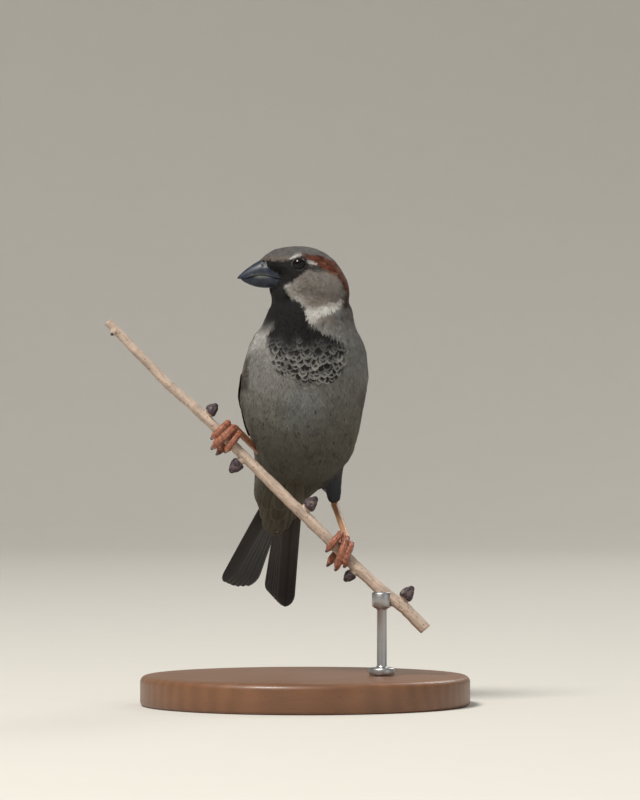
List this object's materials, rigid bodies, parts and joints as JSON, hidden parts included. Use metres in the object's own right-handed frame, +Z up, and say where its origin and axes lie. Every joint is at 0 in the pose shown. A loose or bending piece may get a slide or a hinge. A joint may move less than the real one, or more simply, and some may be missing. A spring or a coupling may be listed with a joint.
{
  "type": "house sparrow model on perch stand",
  "caption": "Life-size perched male house sparrow in a still pose, gripping a cut twig held on a round display stand.",
  "frame": {"origin": "centre of the stand's underside, on the surface it stands on", "axes": "+Z up; the bird's breast faces -Y and its bill points to -X; +X is the bird's left"},
  "size_m": [0.1107, 0.1091, 0.1389],
  "materials": {
    "body_feathers": "matt feathers in grey, chestnut, black and off-white",
    "wing_feathers": "matt chestnut, buff and blackish feathers",
    "flight_feathers": "smooth dark grey-brown vanes with paler edges",
    "bill": "smooth slate-black horn",
    "eye": "wet dark brown eye",
    "leg_skin": "scaly orange-pink skin",
    "claw": "dark horn",
    "bark": "pale pinkish-beige bark with dark buds",
    "stand_wood": "satin dark wood",
    "stand_steel": "satin steel"
  },
  "bodies": {
    "root": {"head": "body_feathers", "neck": "body_feathers", "trunk": "body_feathers", "tail_coverts": "body_feathers", "bill_upper": "bill", "bill_lower": "bill", "eye_left": "eye", "eye_right": "eye", "wing_left_coverts": "wing_feathers", "wing_left_secondaries": "wing_feathers", "wing_left_primaries": "wing_feathers", "wing_right_coverts": "wing_feathers", "wing_right_secondaries": "wing_feathers", "wing_right_primaries": "wing_feathers", "tail_left": "flight_feathers", "tail_right": "flight_feathers", "thigh_left": "body_feathers", "thigh_right": "body_feathers", "tarsus_left": "leg_skin", "tarsus_right": "leg_skin", "toe_inner_left": "leg_skin", "claw_inner_left": "claw", "toe_middle_left": "leg_skin", "claw_middle_left": "claw", "toe_outer_left": "leg_skin", "claw_outer_left": "claw", "toe_hind_left": "leg_skin", "claw_hind_left": "claw", "toe_inner_right": "leg_skin", "claw_inner_right": "claw", "toe_middle_right": "leg_skin", "claw_middle_right": "claw", "toe_outer_right": "leg_skin", "claw_outer_right": "claw", "toe_hind_right": "leg_skin", "claw_hind_right": "claw", "perch_twig": "bark", "stand_base": "stand_wood", "stand_rod": "stand_steel"}
  },
  "joints": []
}
